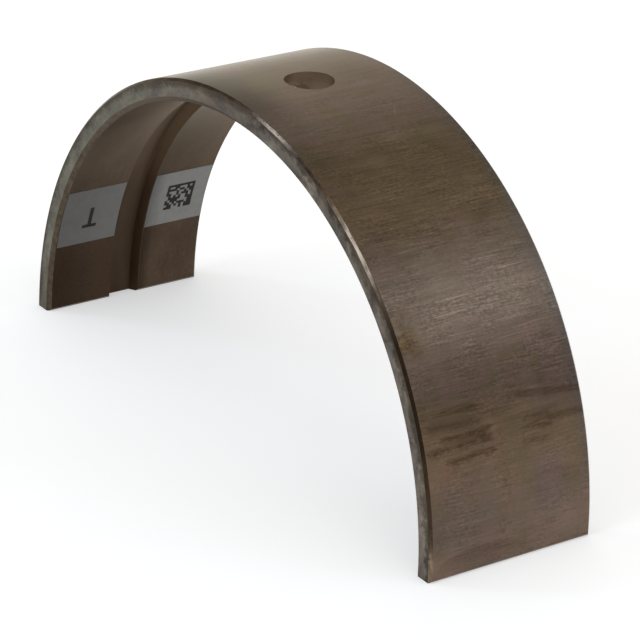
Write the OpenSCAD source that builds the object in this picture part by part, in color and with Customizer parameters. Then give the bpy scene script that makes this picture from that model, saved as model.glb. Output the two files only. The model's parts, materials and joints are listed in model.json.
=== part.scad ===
// Upper half of a split engine main bearing: one bent and turned shell,
// standing on its two joint faces with the crown up.
// Millimetres. X runs across the diameter, Y along the bearing axis and Z up
// to the crown. The origin is on the bearing axis, midway along the width,
// in the plane of the joint faces.

/* [Shell] */
// Diameter across the back, which seats in the housing
back_d = 130; // [100:1:180]
// Thickness of the wall, from the back to the bore
wall_t = 4.2; // [3.2:0.1:8]
// Width of the shell along the bearing axis
shell_w = 34.2; // [20:0.2:60]

/* [Side edges] */
// Depth of the chamfer on the side edges of the back, measured into the wall
back_chamfer_depth = 0.5; // [0.2:0.05:1]
// Run of that chamfer along the bearing axis
back_chamfer_run = 0.5; // [0.2:0.05:1.5]
// Depth of the chamfer on the side edges of the bore, measured into the wall
bore_chamfer_depth = 0.85; // [0.2:0.05:1.2]
// Run of that chamfer along the bearing axis
bore_chamfer_run = 0.7; // [0.2:0.05:1.5]

/* [Joint faces] */
// Leg of the 45 degree break along the back and bore edges of the joint faces
joint_break = 0.45; // [0.1:0.05:0.8]

/* [Oil supply] */
// Width of the oil groove where it opens into the bore
groove_w = 6.6; // [4:0.1:10]
// Depth of the oil groove below the bore
groove_depth = 1.8; // [0.8:0.1:2.6]
// Run of each sloping side of the groove along the bearing axis
groove_side_run = 1.05; // [0.1:0.05:1.6]
// Diameter of the oil hole through the crown
oil_hole_d = 9; // [4:0.1:14]

/* [Hidden] */
$fn = 180;

// Radii of the back, the bore and the floor of the oil groove
back_r = back_d / 2;
bore_r = back_r - wall_t;
groove_floor_r = bore_r + groove_depth;

// Half widths, because the section is the same on both sides of the groove
half_w = shell_w / 2;
half_groove = groove_w / 2;
half_groove_floor = half_groove - groove_side_run;

// Angle that the wall turns through, from one joint face to the other
wrap_angle = 180;

// Length by which a cutter runs past the surface that it opens
overcut = 1;

// Colour of the tarnished steel back
shell_colour = [0.40, 0.35, 0.30];

// One side of the wall's section as [radius, distance from mid width],
// from the groove's floor, over the land and the two chamfers, to the back
function half_section(side) = [
    [groove_floor_r, side * half_groove_floor],
    [bore_r, side * half_groove],
    [bore_r, side * (half_w - bore_chamfer_run)],
    [bore_r + bore_chamfer_depth, side * half_w],
    [back_r - back_chamfer_depth, side * half_w],
    [back_r, side * (half_w - back_chamfer_run)]
];

function backwards(points) = [for (i = [len(points) - 1 : -1 : 0]) points[i]];

// The whole section, with the oil groove open to the bore
module wall_section() {
    polygon(concat(half_section(1), backwards(half_section(-1))));
}

// The section carried round half a turn about the bearing axis
module half_ring() {
    rotate([90, 0, 0])
        rotate_extrude(angle = wrap_angle)
            wall_section();
}

// Wedge that breaks one edge of a joint face along the whole width.
// lean is 1 for the edge at the back and -1 for the edge at the bore.
module edge_wedge(edge_r, lean) {
    rotate([90, 0, 0])
        linear_extrude(height = shell_w + 2 * overcut, center = true)
            polygon([
                [edge_r - lean * (joint_break + overcut), -overcut],
                [edge_r + lean * overcut, -overcut],
                [edge_r + lean * overcut, joint_break + overcut]
            ]);
}

// Both edges of both joint faces
module joint_breaks() {
    for (leg = [0, 1])
        mirror([leg, 0, 0]) {
            edge_wedge(back_r, 1);
            edge_wedge(bore_r, -1);
        }
}

// Straight drilling through the crown into the groove
module oil_hole() {
    translate([0, 0, bore_r - overcut])
        cylinder(d = oil_hole_d, h = wall_t + 2 * overcut);
}

module bearing_shell() {
    color(shell_colour)
        difference() {
            half_ring();
            joint_breaks();
            oil_hole();
        }
}

bearing_shell();
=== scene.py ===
# %% [markdown]
# # A half-round engine bearing shell
# This lesson dresses one small steel part: the upper half of a split main bearing, as it looks on a white
# table after some handling. The part is already drawn to size in CAD. Blender rebuilds its visible skin
# from the same sizes, so that it gets fine edges and tarnished steel, and places the light and the
# camera. Everything is in metres. X runs across the diameter, Y along the bearing axis and Z up to the
# crown.

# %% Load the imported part
import json
import math

import bpy
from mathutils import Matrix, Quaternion, Vector


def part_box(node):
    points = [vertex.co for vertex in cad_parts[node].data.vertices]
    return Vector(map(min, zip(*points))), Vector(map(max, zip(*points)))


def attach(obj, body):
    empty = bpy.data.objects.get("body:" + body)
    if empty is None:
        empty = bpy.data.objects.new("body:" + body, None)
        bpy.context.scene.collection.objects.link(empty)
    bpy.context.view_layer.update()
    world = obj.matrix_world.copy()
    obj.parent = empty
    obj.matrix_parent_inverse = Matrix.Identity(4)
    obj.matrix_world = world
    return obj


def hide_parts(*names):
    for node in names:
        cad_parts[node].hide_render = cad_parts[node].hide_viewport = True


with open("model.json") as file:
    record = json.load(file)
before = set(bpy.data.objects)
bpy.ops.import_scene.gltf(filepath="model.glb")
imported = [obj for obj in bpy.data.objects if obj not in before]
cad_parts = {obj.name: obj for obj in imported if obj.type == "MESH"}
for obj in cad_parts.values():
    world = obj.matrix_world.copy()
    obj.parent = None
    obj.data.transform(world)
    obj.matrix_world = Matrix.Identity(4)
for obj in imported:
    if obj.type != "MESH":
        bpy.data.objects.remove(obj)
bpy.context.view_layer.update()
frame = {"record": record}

MM = 0.001


# %% [markdown]
# ## Sizes
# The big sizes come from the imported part, so the skin follows the CAD: its box gives the back and the
# width, and its stated fits give the bore and the oil hole. Written down a second time, they could drift
# apart. Only the small edge details, which no fit states, are given here.

# %% Read the sizes
low_corner, high_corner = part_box("bearing_shell")
fits = {mount["name"]: mount["dims"] for mount in frame["record"]["mounts"]}

BACK_R = high_corner.x
BORE_R = fits["journal_bore"]["r_mm"] * MM
SHELL_SIZES = {
    "Back Radius": BACK_R, "Wall": BACK_R - BORE_R, "Width": high_corner.y - low_corner.y,
    "Back Chamfer Depth": 0.5 * MM, "Back Chamfer Run": 0.5 * MM,
    "Bore Chamfer Depth": 0.85 * MM, "Bore Chamfer Run": 0.7 * MM,
    "Groove Width": 6.6 * MM, "Groove Depth": 1.8 * MM, "Groove Side Run": 1.05 * MM,
    "Corner Round": 0.1 * MM, "Joint Break": 0.45 * MM,
    "Oil Hole Radius": fits["oil_hole"]["r_mm"] * MM,
}
print("sizes in mm:", {label: round(value / MM, 2) for label, value in SHELL_SIZES.items()})

# %% [markdown]
# ## A short way to write node trees
# Node trees soon grow long when every node and link takes a line of its own. One small class wraps a
# node's output socket and lets Python's own operators add the Math nodes, so that a mask reads like a
# formula. Every other node comes from its one method `add`: settings first, then the values or links of
# the sockets.

# %% Wrap a socket


class Wire:
    """One node socket. Operators on it add Math nodes to its tree."""

    def __init__(self, tree, socket=None):
        self.tree, self.socket = tree, socket

    def add(self, kind, settings=None, sockets=None, out=0):
        node = self.tree.nodes.new(kind)
        for name, value in (settings or {}).items():
            setattr(node, name, value)
        for key, value in (sockets or {}).items():
            for one in value if isinstance(value, list) else [value]:
                if isinstance(one, Wire):
                    self.tree.links.new(one.socket, node.inputs[key])
                else:
                    node.inputs[key].default_value = one
        return Wire(self.tree, node.outputs[out] if node.outputs else None)

    def math(self, operation, *values):
        return self.add("ShaderNodeMath", {"operation": operation}, dict(enumerate(values)))

    def __add__(self, other):
        return self.math("ADD", self, other)

    def __sub__(self, other):
        return self.math("SUBTRACT", self, other)

    def __rsub__(self, other):
        return self.math("SUBTRACT", other, self)

    def __mul__(self, other):
        return self.math("MULTIPLY", self, other)

    def __truediv__(self, other):
        return self.math("DIVIDE", self, other)

    def __gt__(self, other):
        return self.math("GREATER_THAN", self, other)

    def __lt__(self, other):
        return self.math("LESS_THAN", self, other)

    def __abs__(self):
        return self.math("ABSOLUTE", self)

    __radd__, __rmul__ = __add__, __mul__


def split(vector):
    """The x, y and z of a vector, each as a value."""
    return [vector.add("ShaderNodeSeparateXYZ", None, {0: vector}, axis) for axis in range(3)]


def point(board, x, y, z):
    return board.add("ShaderNodeCombineXYZ", None, {0: x, 1: y, 2: z})


def length(a, b):
    return a.math("SQRT", a * a + b * b)


print("a wire answers to + - * / > < and abs")

# %% [markdown]
# ## The shell's skin
# The real shell is bent from steel strip, and its section is then turned: two lands on the bore, an oil
# groove with sloping sides between them, a plain back and a chamfer on each side edge. A mesh could be
# drawn by hand or spun, but a section carried round an arc is a rule, so Geometry Nodes suits it: one
# change of a named input moves every edge. First come three helpers that any of the trees needs.

# %% Helpers for geometry trees


def new_tree(name, inputs):
    """An empty geometry tree with named inputs. Returns it with one wire for each input."""
    tree = bpy.data.node_groups.new(name, "GeometryNodeTree")
    tree.interface.new_socket("Geometry", in_out="OUTPUT", socket_type="NodeSocketGeometry")
    for label, kind in inputs.items():
        tree.interface.new_socket(label, in_out="INPUT", socket_type=kind)
    source = tree.nodes.new("NodeGroupInput")
    return tree, {label: Wire(tree, source.outputs[label]) for label in inputs}


def moved(shape, offset=(0, 0, 0), turn=(0, 0, 0)):
    return shape.add("GeometryNodeTransform", None,
                     {"Geometry": shape, "Translation": offset, "Rotation": turn})


def painted(shape, material, where=True):
    return shape.add("GeometryNodeSetMaterial", None,
                     {"Geometry": shape, "Selection": where, "Material": material})


shell_tree, size = new_tree("shell_sweep", {label: "NodeSocketFloat" for label in SHELL_SIZES})
board = Wire(shell_tree)
print("inputs of the sweep:", list(size))

# %% [markdown]
# The section is a closed line of twelve corners. The six on one side of the groove are worked out from
# the named sizes and mirrored for the other side. A real edge is never quite sharp, so a small fillet
# rounds each.

# %% Draw the section
FILLET_STEPS = 3


def shell_section(sizes):
    """The line round the wall's section. Its x is the height above the back, its y the place on the axis."""
    half_width, half_groove = sizes["Width"] / 2, sizes["Groove Width"] / 2
    bore_level, floor_level = 0 - sizes["Wall"], sizes["Groove Depth"] - sizes["Wall"]
    corners = [
        (floor_level, half_groove - sizes["Groove Side Run"]),
        (bore_level, half_groove),
        (bore_level, half_width - sizes["Bore Chamfer Run"]),
        (bore_level + sizes["Bore Chamfer Depth"], half_width),
        (0 - sizes["Back Chamfer Depth"], half_width),
        (0.0, half_width - sizes["Back Chamfer Run"]),
    ]
    corners += [(height, 0 - along) for height, along in reversed(corners)]

    # An Index Switch hands each point of a plain line its own corner
    chooser = board.tree.nodes.new("GeometryNodeIndexSwitch")
    chooser.data_type = "VECTOR"
    for number, (height, along) in enumerate(corners):
        if number > 1:
            chooser.index_switch_items.new()
        board.tree.links.new(point(board, height, along, 0.0).socket, chooser.inputs[1 + number])
    board.tree.links.new(board.add("GeometryNodeInputIndex").socket, chooser.inputs[0])
    corner = Wire(board.tree, chooser.outputs[0])

    line = board.add("GeometryNodeMeshLine", None, {"Count": len(corners)})
    line = board.add("GeometryNodeSetPosition", None, {"Geometry": line, "Position": corner})
    line = board.add("GeometryNodeMeshToCurve", None, {"Mesh": line})
    line = board.add("GeometryNodeSetSplineCyclic", None, {"Geometry": line, "Cyclic": True})
    print("section of %d corners" % len(corners))
    return board.add("GeometryNodeFilletCurve", {"mode": "POLY"}, {
        "Curve": line, "Count": FILLET_STEPS, "Radius": sizes["Corner Round"], "Limit Radius": True})


section = shell_section(size)

# %% [markdown]
# Curve to Mesh carries the section along an arc. The arc runs slightly past half a turn at both ends,
# because its ends are sawn off later, as two real shells are sawn from one ring. The sweep comes out
# inside out, so its faces are flipped, and it is turned from the flat plane to stand up.

# %% Sweep it round
ARC_POINTS = 245
OVERRUN = math.radians(1.5)

arc = board.add("GeometryNodeCurveArc", None, {
    "Resolution": ARC_POINTS, "Radius": size["Back Radius"],
    "Start Angle": -OVERRUN, "Sweep Angle": math.pi + 2 * OVERRUN})
ring = board.add("GeometryNodeCurveToMesh", None, {"Curve": arc, "Profile Curve": section, "Fill Caps": True})
ring = moved(board.add("GeometryNodeFlipFaces", None, {"Mesh": ring}), turn=(math.pi / 2, 0, 0))
print("swept through %.0f degrees in %d points" % (math.degrees(math.pi + 2 * OVERRUN), ARC_POINTS))

# %% [markdown]
# The cutters do what the tools on a bench do: a saw block below the joint plane cuts both ends flat, a
# drill makes the oil hole at the crown, and four square bars, turned by 45 degrees and centred on the
# edges of the joint faces, break those edges. Booleans keep the cuts exact and tied to the same inputs.

# %% Cut the ring
DRILL_SIDES = 128
SHARP_ANGLE = math.radians(5)


def cut(shape, cutters):
    return board.add("GeometryNodeMeshBoolean", {"operation": "DIFFERENCE", "solver": "MANIFOLD"},
                     {"Mesh 1": shape, "Mesh 2": cutters})


bore_radius = size["Back Radius"] - size["Wall"]
block_size = point(board, size["Back Radius"] * 3, size["Width"] * 2, size["Wall"] * 4)
saw = board.add("GeometryNodeMeshCube", None, {"Size": block_size})
saw = moved(saw, point(board, 0.0, 0.0, size["Wall"] * -2))
drill = board.add("GeometryNodeMeshCylinder", None, {
    "Vertices": DRILL_SIDES, "Radius": size["Oil Hole Radius"], "Depth": size["Wall"] * 3})
drill = moved(drill, point(board, 0.0, 0.0, size["Back Radius"] - size["Wall"] / 2))
bar_side = size["Joint Break"] * math.sqrt(2)
bar = board.add("GeometryNodeMeshCube", None, {"Size": point(board, bar_side, size["Width"] * 2, bar_side)})
bars = [moved(bar, point(board, edge * leg, 0.0, 0.0), (0, math.pi / 4, 0))
        for edge in (size["Back Radius"], bore_radius) for leg in (1, -1)]
sawn = cut(cut(ring, [saw, drill]), bars)

skin = board.add("GeometryNodeSetShadeSmooth", {"domain": "FACE"}, {"Geometry": sawn, "Shade Smooth": True})
is_sharp = board.add("GeometryNodeInputMeshEdgeAngle") > SHARP_ANGLE
skin = board.add("GeometryNodeSetShadeSmooth", {"domain": "EDGE"},
                 {"Geometry": skin, "Selection": is_sharp, "Shade Smooth": False})
print("cutters: saw, drill and %d bars" % len(bars))

# %% [markdown]
# The cuts leave long, uneven faces beside the hole, and averaged normals would shade them as dents. The
# rule of the sweep gives the exact normals instead: a swept face leans outward and sideways by the same
# share at all its corners, the hole's wall points at the drill's axis, and the sawn faces stay flat.

# %% Set the normals by rule
CLOSE = 0.06 * MM
UPRIGHT, DOWNWARD = 0.5, -0.6


def on_face(value):
    """A vector worked out once for each face and shared by its corners."""
    return value.add("GeometryNodeFieldOnDomain", {"data_type": "FLOAT_VECTOR", "domain": "FACE"}, {0: value})


def choose(switch, no, yes):
    return switch.add("GeometryNodeSwitch", {"input_type": "VECTOR"}, {0: switch, 1: no, 2: yes})


facing = on_face(board.add("GeometryNodeInputNormal"))
nx, ny, nz = split(facing)
fx, fy, fz = split(on_face(board.add("GeometryNodeInputPosition")))
radius = length(fx, fz)
outward = (fx * nx + fz * nz) / radius
near_drill = (length(fx, fy) < size["Oil Hole Radius"] + CLOSE) * (fz > size["Back Radius"] / 2)
in_hole = near_drill * (abs(nz) < UPRIGHT)
at_joint = (nz < DOWNWARD) * (fz < size["Joint Break"])

x, y, z = split(board.add("GeometryNodeInputPosition"))
swept = point(board, outward * x / length(x, z), ny, outward * z / length(x, z))
drilled = point(board, 0 - x / length(x, y), 0 - y / length(x, y), 0.0)
normals = choose(at_joint, choose(in_hole, swept, drilled), facing)
skin = board.add("GeometryNodeSetMeshNormal", {"mode": "FREE", "domain": "CORNER"},
                 {"Mesh": skin, "Custom Normal": normals})
print("the sweep has %d nodes so far" % len(shell_tree.nodes))

# %% [markdown]
# ## Steel finishes
# Every surface of the real shell was made by another step, so each gets a finish of its own: the back is
# tarnished and rubbed along the axis, the sides are turned and mottled, the chamfers are rubbed, the bore
# is smooth and the groove holds old oil. Painted pictures would need seams and a fixed resolution.
# Patterns worked out in the shader don't, but one that follows the curve needs flat coordinates: the
# distance round the back from the crown, the place along the axis and the depth below the back, all in
# millimetres.

# %% Lay the shell out flat


class Steel:
    """A new material with the shell laid flat: round (from the crown), along and deep, in millimetres."""

    def __init__(self, name):
        self.material = bpy.data.materials.new(name)
        self.material.use_nodes = True
        self.board = Wire(self.material.node_tree)
        self.shader = self.material.node_tree.nodes["Principled BSDF"]
        position = self.board.add("ShaderNodeTexCoord", out="Object")
        x, self.along, z = [c * (1 / MM) for c in split(position)]
        self.round = self.board.math("ARCTAN2", x, z) * (BACK_R / MM)
        self.deep = BACK_R / MM - length(x, z)

    def noise(self, round_scale, along_scale, seed, detail=4, rough=0.55, deep_scale=0.0):
        """Noise stretched over the flat coordinates. The scales are waves per millimetre."""
        spot = point(self.board, self.round * round_scale, self.along * along_scale,
                     self.deep * deep_scale + seed)
        return self.board.add("ShaderNodeTexNoise", None,
                              {"Vector": spot, "Scale": 1.0, "Detail": detail, "Roughness": rough})

    def finish(self, colour, roughness, metallic=1.0, bump=None, height=0.0, gloss_tint=None):
        """Joins the finished patterns to the shader."""
        links = self.material.node_tree.links
        for name, value in (("Base Color", colour), ("Roughness", roughness), ("Metallic", metallic)):
            if isinstance(value, Wire):
                links.new(value.socket, self.shader.inputs[name])
            else:
                self.shader.inputs[name].default_value = value
        if bump is not None:
            normal = self.board.add("ShaderNodeBump", None,
                                    {"Strength": 1.0, "Distance": height, "Height": bump})
            links.new(normal.socket, self.shader.inputs["Normal"])
        if gloss_tint is not None:
            self.shader.inputs["Specular Tint"].default_value = gloss_tint
        print("finish %s: %d nodes" % (self.material.name, len(self.material.node_tree.nodes)))
        return self.material


print("laid flat, the back is %.1f mm round" % (math.pi * BACK_R / MM))

# %% [markdown]
# A finish is built from soft masks. `ramp` rises from 0 to 1, `band` is 1 between two values, `place` is
# a band round the back times one along the axis, and `scratch` is a straight line. A range is (from, to,
# softness).

# %% Masks and colours


def ramp(value, start, end):
    """0 before start, 1 after end and smooth between."""
    return value.add("ShaderNodeMapRange", {"interpolation_type": "SMOOTHSTEP"},
                     {"Value": value, "From Min": start, "From Max": end})


def band(value, start, end, soft):
    return ramp(value, start - soft, start + soft) * (1 - ramp(value, end - soft, end + soft))


def place(steel, round_mm, along_mm=None):
    """1 in one place of the flat shell. Without a range along the axis it reaches right across."""
    spot = band(steel.round, *round_mm)
    return spot if along_mm is None else spot * band(steel.along, *along_mm)


def scratch(steel, start, end, width):
    """1 on a straight line between two places (round, along), in millimetres."""
    across, ahead = end[0] - start[0], end[1] - start[1]
    reach = math.hypot(across, ahead)
    u, v = steel.round - start[0], steel.along - start[1]
    on_line = band(u * (across / reach) + v * (ahead / reach), 0, reach, width)
    return on_line * (1 - ramp(abs(u * (ahead / reach) - v * (across / reach)), width * 0.3, width))


def swing(noise):
    """A noise as a change to both sides of zero."""
    return noise - 0.5


def mix(factor, a, b):
    return factor.add("ShaderNodeMix", {"data_type": "RGBA"}, {0: factor, 6: a, 7: b}, 2)


def shade(colour, amount):
    """A colour times a value."""
    colour = colour if isinstance(colour, Wire) else colour[:3]
    return amount.add("ShaderNodeVectorMath", {"operation": "SCALE"}, {0: colour, "Scale": amount})


def linear(red, green, blue):
    """A screen colour of 0 to 255 as the linear colour that nodes use."""
    parts = [c / 255 for c in (red, green, blue)]
    return tuple(c / 12.92 if c <= 0.04045 else ((c + 0.055) / 1.055) ** 2.4 for c in parts) + (1.0,)


print("a screen grey of 128 is %.3f in linear light" % linear(128, 128, 128)[0])

# %% [markdown]
# ### The back
# The back is brown-grey steel that was rubbed along the axis. All its marks come from a few noises: those
# with about equal scales give stains, and those stretched along the axis give grain and streaks. Each
# keeps its own seed, so the marks stay where they are on every run.

# %% Noises of the back
back = Steel("tarnished_back")
drift = back.noise(0.08, 0.08, seed=11, detail=2)
patches = back.noise(0.14, 0.15, seed=12, detail=5, rough=0.65)
tint = back.noise(0.16, 0.18, seed=19, detail=1)
worn = back.noise(0.20, 0.14, seed=26, detail=3, rough=0.6)
blots = back.noise(0.55, 0.45, seed=21, detail=3)
grit = back.noise(2.6, 1.3, seed=13, detail=3, rough=0.6)
fine = back.noise(2.7, 0.20, seed=14, rough=0.6)
streak = back.noise(1.0, 0.07, seed=15, detail=5, rough=0.6)
broad = back.noise(0.30, 0.03, seed=16, detail=3)
print("noises of the back: %d nodes" % len(back.material.node_tree.nodes))

# %% [markdown]
# Tarnish is a film that takes on a tint with its thickness. Here it lies in rings round the back: mauve
# at the crown, olive a third of the way down, grey in the band of light, brown round the smears, and
# mauve again above them and at the foot. A slow noise bends the rings, five more tints sit in single
# places, and patches break all of it up.

# %% Tarnish of the back
MAUVE, OLIVE = linear(105, 88, 80), linear(103, 87, 65)
BROWN, GREY = linear(105, 86, 67), linear(103, 90, 78)
RING_SOFTNESS, RING_DRIFT = 5, 14
TARNISH_RINGS = (  # tone, start and end in mm from the crown, share
    (MAUVE, 2, 18, 0.5), (OLIVE, 22, 41, 0.7), (GREY, 47, 62, 0.8),
    (MAUVE, 63, 72, 0.5), (BROWN, 73, 88, 0.5), (MAUVE, 91, 104, 0.5),
)
TINTED_PLACES = (  # tone, range round the back, range along the axis, share
    (linear(108, 91, 89), (66, 77, 3), (7, 40, 3), 0.5),
    (linear(105, 88, 84), (85, 93, 3), (-14, -5, 3), 0.5),
    (linear(99, 90, 80), (90, 97, 3), (-17, -4, 3), 0.4),
    (linear(100, 85, 84), (85, 94, 3), (5, 11, 2), 0.5),
    (linear(110, 87, 76), (82.5, 85.5, 1.5), (-15, -8, 2), 0.4),
)

back_colour = mix(ramp(tint, 0.32, 0.68), linear(104, 87, 75), linear(100, 89, 73))
bent_round = back.round + swing(drift) * RING_DRIFT
for tone, start, end, share in TARNISH_RINGS:
    back_colour = mix(band(bent_round, start, end, RING_SOFTNESS) * share, back_colour, tone)
for tone, round_mm, along_mm, share in TINTED_PLACES:
    back_colour = mix(place(back, round_mm, along_mm) * share, back_colour, tone)

near_front = ramp(back.along, -6, -16)
less_mauve = place(back, (22, 62, 6)) * (0.8 - near_front * 0.5) + place(back, (75, 88, 4)) * 0.7
less_olive = place(back, (45, 62, 5)) * 0.7 + place(back, (76, 106, 4)) * 0.5
mauve_patches = ramp(patches, 0.52, 0.66) * (1 - less_mauve)
olive_patches = ramp(patches, 0.47, 0.34) * (1 - less_olive)
back_colour = mix(mauve_patches * 0.65, back_colour, linear(107, 87, 82))
back_colour = mix(olive_patches * 0.6, back_colour, linear(101, 89, 67))
print("tarnish: %d rings and %d single places" % (len(TARNISH_RINGS), len(TINTED_PLACES)))

# %% [markdown]
# A gold-brown patch lies at the front edge of the right leg, with fine dark lines in it, and a thin trace
# of the same film further down. Blots push its outline in and out, so that it looks like dried oil and
# not like a stamp.

# %% Gold-brown patch
GOLD_ROUND, GOLD_ALONG = (54.8, 63.6, 1.2), (-19.0, -12.8, 1.2)
GOLD_TRACE = ((73.2, -14.0), (73.8, -4.5))

gold = band(back.along + swing(blots) * 7, *GOLD_ALONG) * band(back.round + swing(blots) * 6, *GOLD_ROUND)
gold = gold * ramp(blots + swing(fine) * 0.6, 0.36, 0.56) * (0.5 + ramp(back.round, 57.5, 60) * 0.5)
gold = gold + place(back, (57, 63, 2), (-14, -9, 2)) * 0.14
gold = gold + scratch(back, *GOLD_TRACE, 0.9) * ramp(grit, 0.3, 0.6) * 0.6
gold_tone = mix(ramp(fine, 0.42, 0.58), linear(60, 46, 29), linear(95, 79, 50))
back_colour = mix(gold * 0.85, back_colour, gold_tone)
print("gold-brown patch %.0f to %.0f mm round from the crown" % GOLD_ROUND[:2])

# %% [markdown]
# Rubbing leaves grain along the axis, and its light lines show most where the band of light lies. Grain
# that goes too dark looks like pits, so it stops at a lowest value. Streaks, hair lines and two short
# stretches of marks across the grain lie over it.

# %% Rubbing along the axis
DARKEST_GRAIN = -0.22

in_light = place(back, (27, 70, 7))
grain = swing(fine) * 0.8 + swing(grit) * 0.7
grain = grain * (0.45 + ramp(worn, 0.4, 0.62) * 1.1)
grain = grain * (0.9 + in_light * 0.5 + place(back, (53, 63, 3)) * 0.5 - place(back, (41, 50, 3)) * 0.3)
back_value = 0.96 + grain.math("MAXIMUM", grain, DARKEST_GRAIN)

back_value = back_value + swing(streak) * (0.55 - ramp(back.round, 76, 86) * 0.25)
back_value = back_value + swing(broad) * 0.35 + swing(patches) * 0.5
hair_lines = ramp(back.noise(2.8, 0.07, seed=25, detail=2), 0.61, 0.70)
cross_marks = ramp(back.noise(0.12, 3.4, seed=17, detail=2), 0.55, 0.68)
cross_place = place(back, (49, 61, 2), (7.6, 10.2, 0.8)) + place(back, (44, 56, 2), (-6.2, -3.4, 0.8)) * 0.4
back_value = back_value + hair_lines * (0.12 + place(back, (44, 66, 6)) * 0.4)
back_value = back_value + cross_marks * cross_place * 0.25
print("rubbed back: %d nodes so far" % len(back.material.node_tree.nodes))

# %% [markdown]
# Wider lighter and darker places come next: the front of the crown is dark, the foot is lighter, and the far
# edge is greyer than the rest. Places with a range along the axis are stains left by handling. Those that
# reach right across the width are painted light and shade in bands round the back, and the lighter back left
# of the crown is a painted sheen. Each is a soft place with a change of brightness. The changes in one row
# add up, and the rows multiply.

# %% Lighter and darker places
FRONT, FRONT_HALF, BEFORE_MIDDLE = (-40, -11, 5), (-40, -6.5, 2.5), (-11, -3, 3)
STAIN_AND_PAINTED_LIGHT_ROWS = (  # range round the back, range along the axis, change
    (((-14, 32, 8), FRONT, -0.17), ((-18, 10, 6), FRONT, -0.5), ((50, 73, 4), FRONT, -0.09)),
    # painted light and shade: bands round the back, across the whole width
    (((72, 86, 4), None, 0.1), ((33, 47, 4), None, 0.17), ((70, 75, 3), None, -0.13),
     ((95, 150, 4), None, 0.15), ((55, 65, 3), None, -0.07)),
    (((64, 110, 6), FRONT, 0.1),),
    (((12, 26, 4), FRONT_HALF, -0.09), ((49, 57, 3), FRONT_HALF, -0.1)),
    (((92.5, 150, 4.5), BEFORE_MIDDLE, -0.12), ((66, 73, 3), BEFORE_MIDDLE, -0.08)),
    (((-6, 3, 3), (6, 12, 3), -0.12),),
    (((86, 97, 2), FRONT, -0.2), ((44, 60, 5), (11.5, 40, 4.5), -0.13)),
    (((-28, -8, 4), (-40, -15.75, 0.75), -0.5),),
)
for row in STAIN_AND_PAINTED_LIGHT_ROWS:
    back_value = back_value * (1 + sum(place(back, *ranges) * change for *ranges, change in row))
ragged_ring = band(back.round + swing(patches) * 6, 38.5, 47.5, 1.5)
back_value = back_value * (1 - ragged_ring * ramp(back.along, -3, -8) * 0.05)

far_edge = ramp(back.along, 13.5, 17.2) * place(back, (4, 88, 8))
back_colour = mix(far_edge * 0.6, back_colour, linear(90, 87, 84))
# painted sheen: left of the crown the back is lighter
far_side_sheen = ramp(back.round, -9, -24)
back_value = back_value * (1 - far_edge * 0.05) * (1 + far_side_sheen * 0.4)
print("shaded places on the back:", sum(len(row) for row in STAIN_AND_PAINTED_LIGHT_ROWS))

# %% [markdown]
# Low on the right leg are two dark smears, three strokes each, that were dragged along the axis. The
# front one is filled between its upper strokes. Dark streaks run from them to both edges, and a faint arc
# lies above the joint. Noise moves the ends of the strokes, because straight ends would look drawn.

# %% Smears, streaks and the arc
STROKES = ((77.9, -13.0), (79.5, -16.0), (81.8, -12.5))  # place round the back, front end
STROKE_HALF, STROKE_SOFTNESS, END_SOFTNESS = 0.5, 0.7, 0.8
FRONT_SMEAR_END, FAR_SMEAR = -2.8, (3.8, 9.0)
FRONT_STREAK = ((75.6, -15.5), (76.3, -4.5))
FAR_STREAKS = (((73.6, 3.5), (75.2, 17.5)), ((78.8, 9.0), (78.9, 17.5)))
ARC_MIDDLE, ARC_BEND = 6.3, 0.018

wavy_round = back.round + swing(grit) * 1.2 + swing(patches) * 2
wavy_along = back.along + swing(streak) * 8
smear = 0.0
for middle, front_end in STROKES:
    stroke = band(wavy_round, middle - STROKE_HALF, middle + STROKE_HALF, STROKE_SOFTNESS)
    front_part = band(wavy_along, front_end, FRONT_SMEAR_END, END_SOFTNESS)
    smear = smear + stroke * (front_part + band(wavy_along, *FAR_SMEAR, END_SOFTNESS) * 0.7)
block_along = back.along + swing(streak) * 5
block = band(back.round + swing(patches) * 2, 77.2, 80.2, 0.6)
block = block * band(block_along, -12, FRONT_SMEAR_END, END_SOFTNESS)
block = block * (0.4 + ramp(block_along, -10, -5) * 0.4)
smear_grain = ramp(back.noise(1.6, 0.5, seed=20, rough=0.65), 0.36, 0.58)
smear = smear.math("MAXIMUM", smear, block) * (0.45 + smear_grain * 0.55)

above_smear = band(back.round + swing(patches) * 3, 73.8, 76.4, 1.2) * band(back.along, -15.5, -8.5, 2.5)
smear = smear + above_smear * 0.25 + scratch(back, *FRONT_STREAK, 0.8) * ramp(fine, 0.3, 0.55) * 0.45
for start, end in FAR_STREAKS:
    smear = smear + scratch(back, start, end, 1.0) * (0.25 + ramp(fine, 0.35, 0.6) * 0.45)
from_middle = back.along + ARC_MIDDLE
below_arc = back.round - from_middle * from_middle * ARC_BEND
foot_arc = ramp(below_arc, 97.2, 97.9) * ramp(below_arc, 101.5, 98.0) * band(back.along, -14.5, 1, 3)
back_colour = mix(smear * 0.95 + foot_arc * 0.35, back_colour, linear(66, 49, 37))
print("smears of %d strokes, %d streaks" % (len(STROKES), 1 + len(FAR_STREAKS)))

# %% [markdown]
# A few light scratches and specks high on the back come last. They are lines and a place with grit,
# because each can be set where it belongs. Then the back is put together: steel is a metal, so its colour
# tints the reflection, and the same grain that darkens it also roughens it and gives it a height of a few
# thousandths.

# %% Put the back together
LIGHT_SCRATCHES = (((33.1, 6.6), (30.6, 7.7)), ((17.2, 6.6), (14.2, 8.3)), ((15.9, 6.8), (15.6, 8.0)))
SCRATCH_WIDTH, GRAIN_HEIGHT = 0.25, 0.007 * MM

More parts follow.
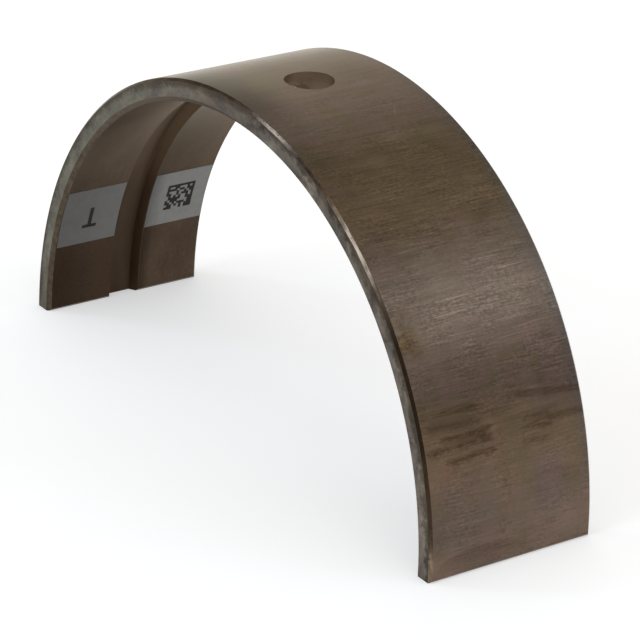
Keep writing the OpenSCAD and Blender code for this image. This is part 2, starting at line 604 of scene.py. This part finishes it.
light = place(back, (8.5, 11.5, 1), (-4.7, -0.7, 0.8)) * ramp(grit, 0.55, 0.65)
for start, end in LIGHT_SCRATCHES:
    light = light + scratch(back, start, end, SCRATCH_WIDTH)
back_value = back_value + light * 0.18
back_rough = 0.33 + swing(fine) * 0.14 + swing(patches) * 0.14 + smear * 0.1 - far_side_sheen * 0.08
back_steel = back.finish(shade(back_colour, back_value), back_rough, bump=fine + streak * 0.7 + grit * 0.5,
                         height=GRAIN_HEIGHT, gloss_tint=(0.95, 0.91, 0.82, 1.0))

# %% [markdown]
# ### The sides
# The sides are turned flat and have stayed greyer than the back. Nothing rubs them, so their mottling is
# coarse, with greenish and purplish stains and fine specks, and a dark rim of old oil follows the outer
# edge. The rim is a ramp over the depth below the back, pushed in and out by the same noises that make
# the stains.

# %% Colours of the sides
side = Steel("turned_side")
mottle = side.noise(0.16, 0.3, seed=21, detail=2, rough=0.5, deep_scale=0.3)
stain = side.noise(0.6, 0.5, seed=27, rough=0.6, deep_scale=0.8)
speck = side.noise(1.7, 1.7, seed=22, detail=3, rough=0.6, deep_scale=1.7)
greenish = side.noise(0.45, 0.4, seed=23, detail=3, deep_scale=0.5) + ramp(side.round, 20, -40) * 0.1
purplish = side.noise(0.5, 0.4, seed=24, detail=3, deep_scale=0.6)

side_colour = mix(ramp(greenish, 0.52, 0.70) * 0.75, linear(99, 91, 83), linear(93, 95, 81))
side_colour = mix(ramp(purplish, 0.54, 0.70) * 0.5, side_colour, linear(98, 89, 89))
brown_crown = place(side, (-13, 8, 6))
left_leg, left_foot = ramp(side.round, -16, -34), ramp(side.round, -88, -95)
side_colour = mix(brown_crown * 0.7, side_colour, linear(99, 88, 78))
side_colour = mix(left_leg * 0.5, side_colour, linear(97, 95, 82))
side_colour = mix(left_foot * 0.6, side_colour, linear(99, 91, 76))

RIM_INNER, RIM_OUTER = 2.0, 0.6
WIDER_RIM = (((-30, 0, 8), 0.2), ((43, 53, 3), 0.7), ((60, 96, 4), 0.25))  # range round the back, mm wider
from_rim = side.deep + swing(speck) * 0.8 + swing(stain) * (1.8 + ramp(side.round, 5, 25) * 2.0)
for round_mm, wider in WIDER_RIM:
    from_rim = from_rim - place(side, round_mm) * wider
side_colour = mix(ramp(from_rim, RIM_INNER, RIM_OUTER) * 0.9, side_colour, linear(61, 53, 40))
print("rim of the sides: dark to %.1f mm, gone at %.1f mm" % (RIM_OUTER, RIM_INNER))

# %% [markdown]
# Brightness of the sides changes as well: mottling everywhere, lighter near the right foot, and stains
# that stand out as single lighter or darker stretches. The stretches are listed by their place round the
# shell.

# %% Brightness of the sides
SIDE_STAINS = (  # start and end in mm from the crown, change
    (-102, -91, -0.24), (-44, -38, -0.14), (-26, -20, -0.14), (-7, 6, -0.2), (8.5, 16, 0.3),
    (18, 24, -0.3), (26, 32, 0.4), (33, 41, -0.32), (45, 48.4, -0.15), (62, 69, -0.12),
)
STAIN_SOFTNESS, STAIN_DRIFT, SPECK_HEIGHT = 1.5, 4, 0.012 * MM

side_value = 1 + swing(mottle) * (1.6 + place(side, (10, 76, 12)) * 1.4)
side_value = side_value + swing(stain) * (0.9 + ramp(side.round, -10, 25) * 0.6)
side_value = side_value + swing(speck) * 0.9 + ramp(speck, 0.64, 0.72) * 0.3
light_foot = ramp(side.round, 74, 90) * 0.3 - ramp(side.round, 90, 95) * 0.2
side_value = side_value * (1.03 + light_foot - place(side, (-6, 42, 8)) * 0.14)
stained_round = side.round + swing(stain) * STAIN_DRIFT
for start, end, change in SIDE_STAINS:
    side_value = side_value * (1 + band(stained_round, start, end, STAIN_SOFTNESS) * change)
side_steel = side.finish(shade(side_colour, side_value), 0.40 + swing(speck) * 0.2,
                         bump=speck, height=SPECK_HEIGHT)

# %% [markdown]
# ### The chamfers
# The back's chamfers are narrow and rubbed unevenly, so they are smoother than the back. They see only a
# small part of the room: they glint where they mirror a lamp and are dark where they don't. The geometry
# gives the glints by itself. The finish adds wear, nicks and bare metal at the right foot's corner, brown
# dirt and painted shade above the right foot, painted shade on the left leg, and painted highlights left of
# the crown and along the crown's rim.

# %% Finish the back's chamfers
edge = Steel("rubbed_chamfer")
wear = edge.noise(0.6, 0.6, seed=31, rough=0.6, deep_scale=0.8)
nicks = ramp(edge.noise(1.1, 1.1, seed=32, detail=3, rough=0.5, deep_scale=1.4), 0.64, 0.72) * 0.6
rubbed = edge.noise(0.35, 2.2, seed=33, detail=3, rough=0.6, deep_scale=2.2)

edge_colour = mix(ramp(wear, 0.3, 0.7), linear(81, 68, 56), linear(96, 84, 72))
edge_colour = mix(ramp(rubbed, 0.54, 0.40) * 0.55, edge_colour, linear(52, 42, 33))
edge_colour = mix(nicks, edge_colour, linear(38, 31, 25))
edge_colour = mix(place(edge, (55, 94, 6)) * 0.6, edge_colour, linear(74, 57, 42))

# bare metal lightens the right foot's corner; above the right foot brown dirt and painted shade darken the
# chamfer
bare_corner, dirt_and_shade = ramp(edge.round, 95, 97.5), place(edge, (76.5, 94.5, 4)) * 0.45
# painted shade on the left leg's chamfer
turned_away_shade = ramp(edge.round, -24, -36) * 0.72
# painted highlights left of the crown and along the crown's rim
highlight_left_of_crown = place(edge, (-24, -12, 4)) * 0.4
crown_rim_highlight = place(edge, (-8, 5, 3)) * ramp(edge.deep, 0.22, 0.45) * 0.8
edge_value = (1 + bare_corner - dirt_and_shade - turned_away_shade + highlight_left_of_crown + crown_rim_highlight) * 1.12
edge_rough = 0.2 + nicks * 0.3 + swing(wear) * 0.1 - swing(rubbed) * 0.2
chamfer_steel = edge.finish(shade(edge_colour, edge_value), edge_rough, gloss_tint=(0.8, 0.74, 0.68, 1.0))

# %% [markdown]
# The bore's chamfers are duller and browner, most of all left of the crown. They could share the back's
# finish, but a second, simpler one keeps both easy to change.

# %% Finish the bore's chamfers
bore_edge = Steel("bore_edge")
wear = bore_edge.noise(0.6, 0.6, seed=31, rough=0.6, deep_scale=0.8)
bore_edge_colour = mix(ramp(wear, 0.3, 0.7), linear(69, 59, 49), linear(90, 80, 68))
bore_edge_colour = mix(place(bore_edge, (-38, 2, 8)) * 0.75, bore_edge_colour, linear(83, 67, 50))
bore_edge_steel = bore_edge.finish(bore_edge_colour, 0.4 + swing(wear) * 0.1)

# %% [markdown]
# ### The bore
# The bore is the running surface. It is smooth, its faint lines run round it because it is finished by
# boring, and a thin brown film lies on it. Painted shade makes it darker towards the joint and beside the
# groove. Most of its darkness is rendered shadow, but a hollow of metal mirrors itself many times, so slow
# ramps of painted light and shade settle the last share of it.

# %% Finish the bore
BORE_GLOSS = (1.0, 0.93, 0.83, 1.0)

bore = Steel("smooth_bore")
film = bore.noise(0.06, 0.10, seed=41, detail=5, rough=0.62)
turned_lines = bore.noise(0.05, 3.5, seed=42, detail=3)
bore_grit = bore.noise(1.2, 1.2, seed=43, detail=3)
from_crown = abs(bore.round)
# painted shade: darker towards the joint, less so on the far land
painted_joint_shade = ramp(from_crown, 60, 94) * (1 - ramp(bore.along, 3.5, 6) * 0.85)
bore_colour = mix(ramp(film, 0.35, 0.65), linear(82, 68, 56), linear(94, 79, 66))
bore_colour = mix(painted_joint_shade, bore_colour, linear(68, 54, 43))

far_land, to_far_edge = ramp(bore.along, 0, 2), ramp(bore.along, 4, 15)
bore_value = 0.70 + turned_lines * 0.2 + swing(film) * 0.4 + swing(bore_grit) * 0.4
# painted light and shade: slow ramps over the lands, the far edge and the joint
bore_value = bore_value * (0.72 + ramp(bore.along, -16, -3.5) * (0.55 - far_land * 0.3) + to_far_edge * 0.16)
bore_value = bore_value * (1 - far_land * (1 - ramp(from_crown, 72, 86)) * (0.38 - to_far_edge * 0.2))
bore_value = bore_value * (1 + ramp(from_crown, 94, 102) * (0.14 + ramp(bore.along, 8, 16) * 0.1))
# painted shadow of the groove on the far land
bore_value = bore_value * (1 - band(bore.along, 2.5, 6, 1.5) * band(from_crown, 76, 94, 4) * 0.22)
bore_steel = bore.finish(shade(bore_colour, bore_value), 0.36 + swing(film) * 0.15, gloss_tint=BORE_GLOSS)

# %% [markdown]
# The groove carries the oil, so a brown film lies in it. Its sloping sides are a warmer brown than its floor,
# and low on the legs painted shade darkens the sides and the whole groove. One finish does for both, with a
# mask over the distance from mid width.

# %% Finish the groove
groove = Steel("oily_groove")
groove_film = groove.noise(0.08, 0.2, seed=51)
groove_lines = groove.noise(0.1, 3.0, seed=52, detail=3)
flank = ramp(abs(groove.along), 2.0, 2.5)
# painted shade: the sloping sides darken low on the legs
flank_tone = mix(ramp(abs(groove.round), 50, 80), linear(97, 80, 62), linear(79, 59, 45))
groove_colour = mix(ramp(groove_film, 0.3, 0.7), linear(80, 65, 52), linear(90, 74, 60))
# painted shade: the whole groove darkens low on the legs
groove_value = 0.84 + groove_lines * 0.2 - ramp(abs(groove.round), 68, 78) * 0.28
groove_steel = groove.finish(shade(mix(flank, groove_colour, flank_tone), groove_value), 0.42 + flank * 0.1,
                             gloss_tint=BORE_GLOSS)

# %% [markdown]
# The oil hole's wall is drilled and the joint faces are sawn, so both are lighter than the rest and show tool
# lines. The hole's wall is the roughest surface. Painted light makes it lighter just behind its middle and
# near its mouth on the shell's back, and painted shade makes it darker at the back of the hole. A plain mask
# for each is enough.

# %% Finish the oil hole and the joint faces
hole = Steel("drilled_wall")
drill_lines = hole.noise(0.3, 0.3, seed=71, detail=3, rough=0.5, deep_scale=3.0)
# painted light just behind the middle of the hole, painted shade at its back
hole_value = 1.08 + drill_lines * 0.3 - ramp(hole.along, 1.8, 2.8) * 0.28 + band(hole.along, 0, 2, 0.8) * 0.22
# painted light near the mouth on the shell's back
hole_value = hole_value + ramp(hole.deep, 1.4, 0.6) * 0.12
hole_steel = hole.finish(shade(linear(117, 100, 83), hole_value), 0.5)

joint = Steel("joint_face")
saw_lines = joint.noise(0.4, 3.0, seed=61, detail=3, rough=0.5, deep_scale=0.4)
joint_steel = joint.finish(shade(linear(108, 100, 90), 0.8 + saw_lines * 0.4), 0.35)

# %% [markdown]
# ### A finish for each face
# Back in the sweep, each face is told apart by where it is and which way it points. A later line paints
# over an earlier one, so the list runs from the widest rule to the narrowest.

# %% Give each face its finish
SLOPING, FLAT = 0.15, 0.97
FACES_AXIS, LEANS_TO_AXIS = -0.9, -0.2

sideways = abs(ny)
on_slope = (sideways > SLOPING) * (sideways < FLAT)
in_groove = (abs(fy) < size["Groove Width"] / 2) * (radius > bore_radius + CLOSE) * (outward < LEANS_TO_AXIS)
skin = painted(skin, back_steel)
skin = painted(skin, chamfer_steel, on_slope)
skin = painted(skin, bore_edge_steel, on_slope * (outward < 0.0))
skin = painted(skin, side_steel, sideways > FLAT)
skin = painted(skin, bore_steel, outward < FACES_AXIS)
skin = painted(skin, groove_steel, in_groove)
skin = painted(skin, hole_steel, in_hole)
skin = painted(skin, joint_steel, at_joint)
skin = board.add("GeometryNodeRealizeInstances", None, {"Geometry": skin})
board.add("NodeGroupOutput", None, {"Geometry": skin})
print("the whole sweep has %d nodes" % len(shell_tree.nodes))

# %% [markdown]
# A modifier runs the tree. Its inputs are set by their identifiers before it is first evaluated, the
# result is kept as a plain mesh, and the modifier goes away with the object that carried it. A boolean
# leaves empty material slots behind, so only the materials that some face uses are kept.

# %% Make the shell


def grow(name, tree, values):
    """Evaluates a geometry tree once with these inputs and keeps the result as a plain mesh object."""
    carrier = bpy.data.objects.new("carrier", bpy.data.meshes.new("carrier"))
    bpy.context.scene.collection.objects.link(carrier)
    modifier = carrier.modifiers.new("tree", "NODES")
    modifier.node_group = tree
    for item in tree.interface.items_tree:
        if item.in_out == "INPUT":
            modifier[item.identifier] = values[item.name]
    mesh = bpy.data.meshes.new_from_object(carrier.evaluated_get(bpy.context.evaluated_depsgraph_get()))
    bpy.data.objects.remove(carrier)

    used = sorted({face.material_index for face in mesh.polygons})
    numbers = [used.index(face.material_index) for face in mesh.polygons]
    kept = [mesh.materials[number] for number in used]
    mesh.materials.clear()
    for material in kept:
        mesh.materials.append(material)
    mesh.polygons.foreach_set("material_index", numbers)

    mesh.name = name
    piece = bpy.data.objects.new(name, mesh)
    bpy.context.scene.collection.objects.link(piece)
    print("%s: %d faces, finishes %s" % (name, len(mesh.polygons), [m.name for m in kept]))
    return piece


shell = grow("shell_skin", shell_tree, SHELL_SIZES)
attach(shell, "root")
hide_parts("bearing_shell")

# %% [markdown]
# ## Printed fields
# Two pale fields are printed on the bore lands of the left leg, with a plain dark mark on the near one and a
# block of small dark squares on the far one. Ink is matt and no metal. The near field lies in shade, so its
# ink is painted greyer, with painted shade that deepens towards the front edge. A painted shadow darkens the
# far one beside the groove. So the inks read the same flat coordinates as the steel.

# %% Mix the inks


def ink(name, colour, seed, front_shade=0.0):
    """Matt ink. Painted shade makes it darker towards the front edge by the given share, and a painted shadow
    darkens it beside the groove.
    """
    print_ink = Steel(name)
    # painted shade towards the front edge
    value = 0.85 + print_ink.noise(0.6, 0.6, seed=seed) * 0.3 + swing(ramp(print_ink.along, -17, -3)) * front_shade
    # painted shadow beside the groove
    value = value * (1 - band(print_ink.along, 0, 4.8, 2.4) * 0.48)
    print_ink.shader.inputs["Specular IOR Level"].default_value = 0.15
    return print_ink.finish(shade(colour, value), 0.7, metallic=0.0)


pale_ink = ink("pale_ink", linear(158, 157, 154), 9.0)
# painted shade: the near field's ink is a greyer copy of the pale ink
shaded_ink = ink("shaded_ink", linear(124, 123, 121), 9.5, 0.3)
dark_ink = ink("dark_ink", linear(50, 47, 46), 10.0)

# %% [markdown]
# A print is flat before it is on the bore. So each is laid out flat, as a thin slab or as squares set on
# a grid, and one rule then wraps it on the bore: x goes round, y along the axis and z towards the axis. A
# texture could show the same, but thin slabs stay crisp at any size and are pieces that can be left off.

# %% Wrap a layout on the bore
PRINT_INPUTS = ("Bore Radius", "Angle", "Along", "Lift", "Length", "Breadth", "Thickness")


def wrapped(shape, bore_r, angle, along, lift):
    u, v, w = split(shape.add("GeometryNodeInputPosition"))
    turn = angle - u / bore_r
    reach = bore_r - lift - w
    spot = point(shape, reach * shape.math("COSINE", turn), v + along, reach * shape.math("SINE", turn))
    return shape.add("GeometryNodeSetPosition", None, {"Geometry": shape, "Position": spot})


def print_tree(name, layout, **extra):
    """A tree that lays out a print, wraps it on the bore and inks it."""
    inputs = {label: "NodeSocketFloat" for label in PRINT_INPUTS}
    inputs.update(extra, Ink="NodeSocketMaterial")
    tree, sizes = new_tree(name, inputs)
    desk = Wire(tree)
    flat = desk.add("GeometryNodeRealizeInstances", None, {"Geometry": layout(desk, sizes)})
    bent = wrapped(flat, sizes["Bore Radius"], sizes["Angle"], sizes["Along"], sizes["Lift"])
    bent = desk.add("GeometryNodeFlipFaces", None, {"Mesh": bent})
    desk.add("NodeGroupOutput", None, {"Geometry": painted(bent, sizes["Ink"])})
    print("%s: %d nodes" % (name, len(tree.nodes)))
    return tree


# %% [markdown]
# The field is one slab. The mark is a bar on a wider foot, and means nothing. The block of squares is a
# grid with two full edges and about half of the other cells filled by a seeded random value, so there is
# nothing to read in it.

# %% Lay out the prints
CODE_CELLS, CODE_FILL = 11, 0.56
BAR_SHARE, FOOT_SHARE = 0.26, 0.15


def slab(desk, length_u, breadth_v, thickness, steps=24):
    return desk.add("GeometryNodeMeshCube", None, {
        "Size": point(desk, length_u, breadth_v, thickness),
        "Vertices X": steps, "Vertices Y": 2, "Vertices Z": 2})


def field_layout(desk, sizes):
    return slab(desk, sizes["Length"], sizes["Breadth"], sizes["Thickness"])


def mark_layout(desk, sizes):
    upright = slab(desk, sizes["Length"], sizes["Breadth"] * BAR_SHARE, sizes["Thickness"])
    foot = slab(desk, sizes["Length"] * FOOT_SHARE, sizes["Breadth"], sizes["Thickness"], 6)
    foot = moved(foot, point(desk, sizes["Length"] * ((FOOT_SHARE - 1) / 2), 0.0, 0.0))
    return desk.add("GeometryNodeJoinGeometry", None, {"Geometry": [upright, foot]})


def code_layout(desk, sizes):
    cell = sizes["Length"] / CODE_CELLS
    grid = desk.add("GeometryNodeMeshGrid", None, {
        "Size X": sizes["Length"] - cell, "Size Y": sizes["Breadth"] - cell,
        "Vertices X": CODE_CELLS, "Vertices Y": CODE_CELLS})
    u, v, _ = split(desk.add("GeometryNodeInputPosition"))
    chance = desk.add("FunctionNodeRandomValue", {"data_type": "BOOLEAN"},
                      {"Probability": CODE_FILL, "Seed": sizes["Seed"]}, 3)
    chosen = (u > sizes["Length"] / 2 - cell) + (v > sizes["Breadth"] / 2 - cell) + chance > 0.5
    square = slab(desk, cell, cell, sizes["Thickness"], 2)
    return desk.add("GeometryNodeInstanceOnPoints", None,
                    {"Points": grid, "Selection": chosen, "Instance": square})


field_tree = print_tree("print_field", field_layout)
mark_tree = print_tree("print_mark", mark_layout)
code_tree = print_tree("print_code", code_layout, Seed="NodeSocketInt")

# %% [markdown]
# Each print is placed by its angle round the bore, in degrees from the right joint face, and by its place
# along the axis. The fields lie a hair above the steel and the dark marks a hair above the fields, so
# that no two surfaces fight for the same place.

# %% Print on the bore
INK_THICKNESS, FIELD_LIFT, MARK_LIFT = 0.03, 0.02, 0.05
FIELD_BREADTH, FIELD_ALONG = 12.9, 9.85
NEAR_LENGTH, FAR_LENGTH = [math.radians(turn) * BORE_R / MM for turn in (13, 12.5)]


def printed(name, tree, material, angle, along, length_mm, breadth_mm, lift_mm, **more):
    values = {"Bore Radius": BORE_R, "Angle": math.radians(angle), "Along": along * MM, "Lift": lift_mm * MM,
              "Length": length_mm * MM, "Breadth": breadth_mm * MM, "Thickness": INK_THICKNESS * MM,
              "Ink": material}
    piece = grow(name, tree, {**values, **more})
    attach(piece, "root")


printed("field_near", field_tree, shaded_ink, 160.25, -FIELD_ALONG, NEAR_LENGTH, FIELD_BREADTH, FIELD_LIFT)
printed("field_far", field_tree, pale_ink, 160.15, FIELD_ALONG, FAR_LENGTH, FIELD_BREADTH, FIELD_LIFT)
printed("mark_near", mark_tree, dark_ink, 161, -9.8, 4.9, 3.1, MARK_LIFT)
printed("code_far", code_tree, dark_ink, 160.3, 10.2, 6.2, 6.2, MARK_LIFT, Seed=4)

# %% [markdown]
# ## Table
# The shell stands on a wide white table. A table that is only lit looks grey next to the white background
# of a studio picture, so a share of its white is a glow. Light Path keeps that glow to what the camera
# and mirror-like surfaces see: the steel mirrors a white table, but the glow lights no matt surface, and
# the shell's soft shadow stays.

# %% Set the table
TABLE_HALF, TABLE_WHITE, TABLE_GLOW = 5.0, (0.72, 0.72, 0.716), 0.42
BLACK, WHITE = (0.0, 0.0, 0.0, 1.0), (1.0, 1.0, 1.0, 1.0)
SEEN_BY, FIBRE_SCALE = ("Camera", "Glossy", "Transmission"), 30.0

table_mesh = bpy.data.meshes.new("table")
table_corners = [(TABLE_HALF * i, TABLE_HALF * j, 0) for i, j in ((-1, -1), (1, -1), (1, 1), (-1, 1))]
table_mesh.from_pydata(table_corners, [], [(0, 1, 2, 3)])
table = bpy.data.objects.new("table", table_mesh)
bpy.context.scene.collection.objects.link(table)

paper = bpy.data.materials.new("white_table")
paper.use_nodes = True
sheet = Wire(paper.node_tree)
paper_shader = paper.node_tree.nodes["Principled BSDF"]
paper_shader.inputs["Roughness"].default_value = 0.9
paper_shader.inputs["Specular IOR Level"].default_value = 0.1
paper_shader.inputs["Emission Strength"].default_value = TABLE_GLOW
seen = sum(sheet.add("ShaderNodeLightPath", out="Is %s Ray" % kind) for kind in SEEN_BY)
glow_colour = mix(seen > 0.5, BLACK, WHITE)
on_table = sheet.add("ShaderNodeTexCoord", out="Object")
fibre = sheet.add("ShaderNodeTexNoise", None, {"Vector": on_table, "Scale": FIBRE_SCALE})
paper_colour = shade(TABLE_WHITE, 0.98 + fibre * 0.04)
paper.node_tree.links.new(glow_colour.socket, paper_shader.inputs["Emission Color"])
paper.node_tree.links.new(paper_colour.socket, paper_shader.inputs["Base Color"])
table_mesh.materials.append(paper)
print("table of %.0f by %.0f m" % (2 * TABLE_HALF, 2 * TABLE_HALF))

# %% [markdown]
# ## Room
# Bare steel shows what is round it, so an even room would make it flat. A picture of a room could be
# wrapped round the scene, but a few soft round fields do as well and can be moved one by one. Each lies
# in one direction and lowers or raises the brightness of a pale room.

# %% Fill the room with light
ROOM_BRIGHTNESS, ROOM_COLOUR = 0.95, (1.0, 0.985, 0.96, 1.0)
ROOM_FIELDS = (  # direction, inner and outer angle in degrees, change
    ((0.54, -0.83, 0.12), 20, 52, -0.72), ((0.10, 0.60, 0.80), 12, 45, -0.36),
    ((0.78, 0.54, 0.32), 5, 24, -0.36), ((-0.85, -0.27, 0.42), 12, 32, -0.62),
    ((-0.35, -0.615, 0.705), 5, 14, -0.75), ((0.05, -0.765, 0.643), 5, 21, 0.7),
)

room = bpy.data.worlds.new("pale_room")
room.use_nodes = True
sight = Wire(room.node_tree).add("ShaderNodeTexCoord", out="Generated")
brightness = ROOM_BRIGHTNESS
for direction, inner, outer, change in ROOM_FIELDS:
    nearness = sight.add("ShaderNodeVectorMath", {"operation": "DOT_PRODUCT"},
                         {0: sight, 1: Vector(direction).normalized()}, "Value")
    field = ramp(nearness, math.cos(math.radians(outer)), math.cos(math.radians(inner)))
    brightness = brightness + field * change
background = room.node_tree.nodes["Background"]
room.node_tree.links.new(brightness.socket, background.inputs["Strength"])
background.inputs["Color"].default_value = ROOM_COLOUR
bpy.context.scene.world = room
print("room with %d fields" % len(ROOM_FIELDS))

# %% [markdown]
# ## Lamps
# Two soft boxes stand in front, at about 40 degrees, and give the glints on the front chamfer. A window
# behind on the right gives the lighter band down the back. What counts for steel is how bright a lamp
# looks in it and not how much light it sends, so each is set by its radiance, and its power follows from
# its size.

# %% Hang the lamps
AIM_POINT = Vector((0, 0, 0.03))


def soft_box(name, direction, distance, sides, radiance, colour):
    """An area lamp that faces the shell, with the brightness that a reflection of it shows."""
    lamp = bpy.data.lights.new(name, "AREA")
    lamp.shape, lamp.color = "RECTANGLE", colour
    lamp.size, lamp.size_y = sides
    lamp.energy = radiance * math.pi * sides[0] * sides[1]
    holder = bpy.data.objects.new(name, lamp)
    to_lamp = Vector(direction).normalized()
    holder.location = to_lamp * distance + AIM_POINT
    holder.rotation_euler = to_lamp.to_track_quat("Z", "Y").to_euler()
    bpy.context.scene.collection.objects.link(holder)
    print("%s: %.2f W" % (name, lamp.energy))


soft_box("box_right", (0.10, -0.775, 0.62), 1.0, (0.19, 0.24), 5.5, (0.82, 1.03, 1.3))
soft_box("box_left", (-0.512, -0.536, 0.671), 1.0, (0.12, 0.24), 6.7, (0.8, 1.02, 1.32))
soft_box("window", (0.55, 0.54, 0.635), 1.2, (0.40, 0.40), 1.85, (0.90, 0.97, 1.12))

# %% [markdown]
# ## Camera
# The shell is seen from the front right and a little above, through a long lens that keeps its legs
# nearly parallel, with a slight roll. The camera is placed by angles round a target, because each can
# then be changed alone.

# %% Place the camera
LENS_MM, SENSOR_MM, CLIP_START = 181.5, 36.0, 0.01
AZIMUTH, ELEVATION, ROLL = [math.radians(turn) for turn in (54.5, 24.47, 2.5)]
TARGET, DISTANCE = Vector((0.0025, 0.0028, 0.0190)), 0.585

eye = bpy.data.objects.new("camera", bpy.data.cameras.new("camera"))
bpy.context.scene.collection.objects.link(eye)
bpy.context.scene.camera = eye
eye.data.sensor_width, eye.data.lens, eye.data.clip_start = SENSOR_MM, LENS_MM, CLIP_START
away = Vector((math.sin(AZIMUTH) * math.cos(ELEVATION), -math.cos(AZIMUTH) * math.cos(ELEVATION),
               math.sin(ELEVATION)))
eye.location = TARGET + away * DISTANCE
eye.rotation_euler = (away.to_track_quat("Z", "Y") @ Quaternion((0, 0, 1), ROLL)).to_euler()
bpy.context.scene.view_settings.view_transform = "Standard"
bpy.context.view_layer.update()
print("camera at", [round(c, 4) for c in eye.location])
print("looking along", [round(-c, 4) for c in eye.matrix_world.col[2].xyz])
